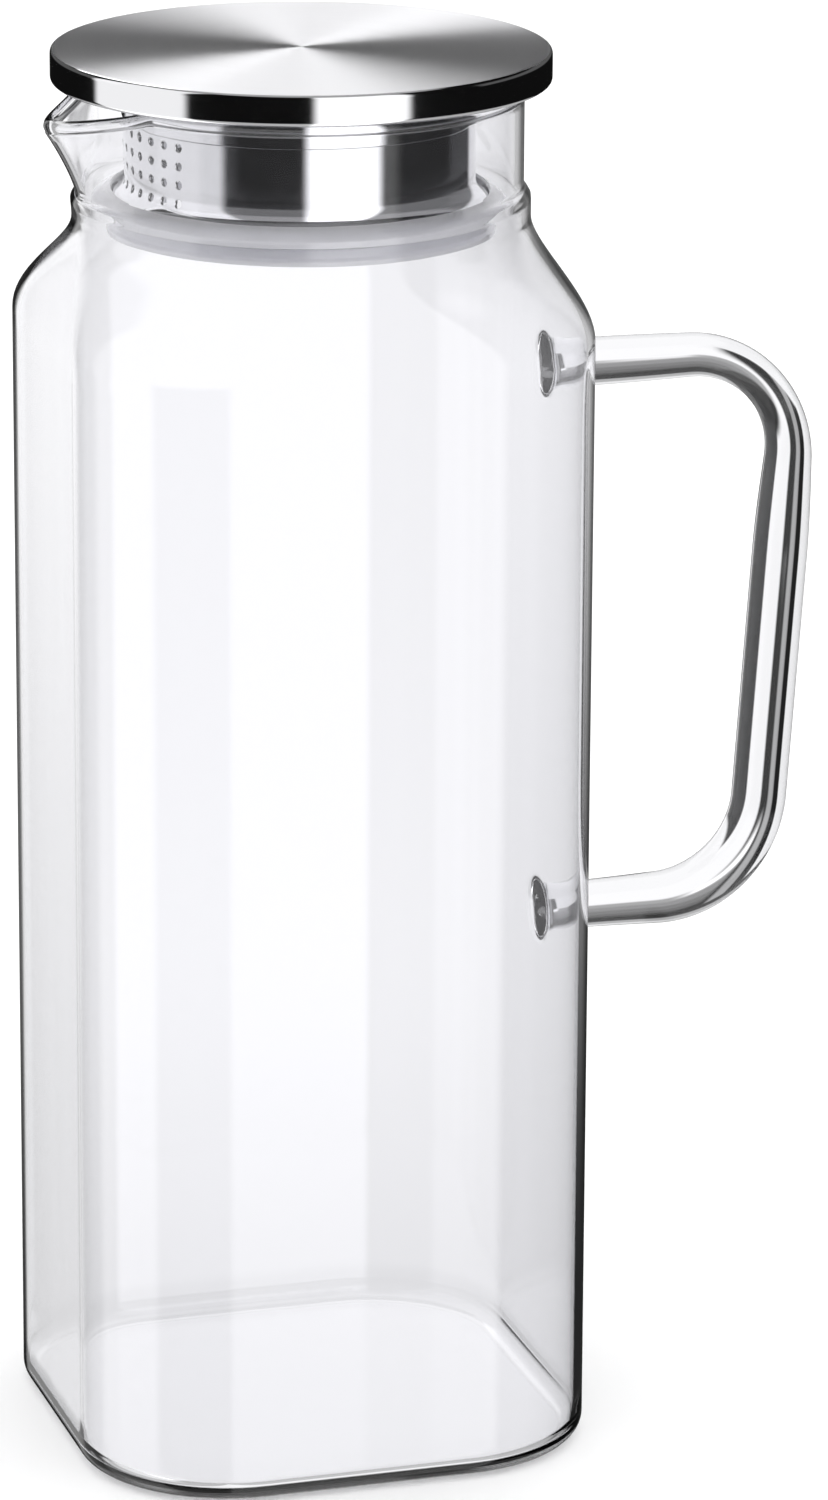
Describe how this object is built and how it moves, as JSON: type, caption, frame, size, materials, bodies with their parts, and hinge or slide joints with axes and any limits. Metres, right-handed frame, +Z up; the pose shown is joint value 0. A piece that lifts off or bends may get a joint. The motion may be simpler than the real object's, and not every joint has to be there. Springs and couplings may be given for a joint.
{
  "type": "water carafe",
  "caption": "Square glass water carafe with a round neck, a pulled pouring lip, a bent glass rod handle, and a lift-off steel lid with a punched strainer sleeve and a silicone seal.",
  "frame": {"origin": "middle of the flat base, on the axis of the neck", "axes": "+Z up through the neck, +X towards the handle, -X towards the pouring lip"},
  "size_m": [0.145, 0.095, 0.256],
  "materials": {
    "glass": "clear borosilicate glass, blown and fire polished",
    "brushed_steel": "stainless sheet with concentric brushing on top and a polished skirt",
    "polished_steel": "polished stainless sheet",
    "silicone": "matt translucent silicone"
  },
  "bodies": {
    "carafe": {"carafe_body": "glass", "handle": "glass"},
    "seal": {"seal_ring": "silicone"},
    "lid": {"lid_cap": "brushed_steel", "lid_underplate": "brushed_steel", "sleeve_collar": "polished_steel", "strainer_sleeve": "polished_steel"}
  },
  "joints": [
    {"name": "lid_lift", "type": "slide", "parent": "carafe", "child": "seal", "axis": [0, 0, 1], "range_m": [0, 0.08]},
    {"name": "lid_turn", "type": "hinge", "parent": "seal", "child": "lid", "pos_m": [0, 0, 0.25], "axis": [0, 0, 1], "continuous": true}
  ]
}
